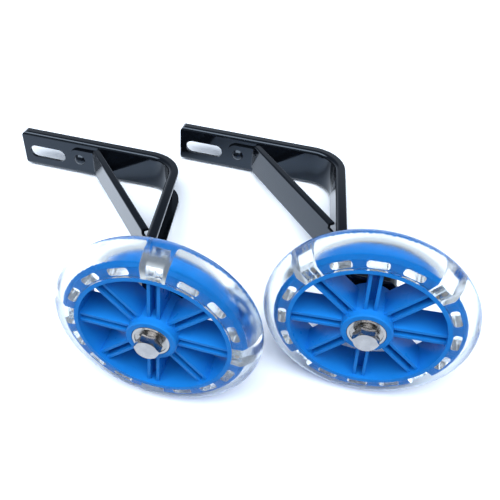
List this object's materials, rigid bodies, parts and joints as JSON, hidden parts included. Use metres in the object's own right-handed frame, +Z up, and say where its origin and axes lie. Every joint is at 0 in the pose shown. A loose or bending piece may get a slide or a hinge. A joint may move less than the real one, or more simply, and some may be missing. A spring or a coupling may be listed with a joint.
{
  "type": "bicycle training wheels",
  "caption": "Pair of bicycle training wheels: bent channel brackets with a riveted brace and an axle slot, each with a clear-tyred light-up wheel on a bolt axle.",
  "frame": {"origin": "centre of the set's bounding box in X and Y, at the floor", "axes": "+X from the left unit's slotted arm end to the right unit's wheel, +Y from the wheels back to the arms, +Z up from the floor that the tyres and arm edges rest on"},
  "size_m": [0.327, 0.1976, 0.1151],
  "materials": {
    "black_paint": "gloss black paint",
    "blue_plastic": "moulded, glossy",
    "clear_polyurethane": "clear, smooth",
    "clear_plastic": "clear case",
    "coil_copper": "wound enamelled wire",
    "light_chip": "satin",
    "bearing_steel": "ground",
    "bearing_shield": "pressed shield",
    "zinc_steel": "zinc plated",
    "magnet": "sintered"
  },
  "bodies": {
    "brackets": {"bracket_bar_left": "black_paint", "brace_left": "black_paint", "bearing_inner_rings_left": "bearing_steel", "bearing_spacer_left": "zinc_steel", "magnet_ring_left": "magnet", "bracket_bar_right": "black_paint", "brace_right": "black_paint", "bearing_inner_rings_right": "bearing_steel", "bearing_spacer_right": "zinc_steel", "magnet_ring_right": "magnet", "brace_rivets": "black_paint", "axle_bolts": "zinc_steel", "head_washers": "zinc_steel", "rear_spacers": "zinc_steel", "nut_washers": "zinc_steel", "lock_nuts": "zinc_steel"},
    "left_wheel": {"wheel_core_left": "blue_plastic", "tyre_left": "clear_polyurethane", "light_cases_left": "clear_plastic", "light_coils_left": "coil_copper", "light_chips_left": "light_chip", "bearing_outer_rings_left": "bearing_steel", "bearing_ball_sets_left": "bearing_shield"},
    "right_wheel": {"wheel_core_right": "blue_plastic", "tyre_right": "clear_polyurethane", "light_cases_right": "clear_plastic", "light_coils_right": "coil_copper", "light_chips_right": "light_chip", "bearing_outer_rings_right": "bearing_steel", "bearing_ball_sets_right": "bearing_shield"}
  },
  "joints": [
    {"name": "left_wheel_spin", "type": "hinge", "parent": "brackets", "child": "left_wheel", "pos_m": [-0.00978, -0.07248, 0.05755], "axis": [0, 0.9501, -0.312], "continuous": true},
    {"name": "right_wheel_spin", "type": "hinge", "parent": "brackets", "child": "right_wheel", "pos_m": [0.10352, -0.04078, 0.05755], "axis": [0, 0.9501, -0.312], "continuous": true}
  ]
}
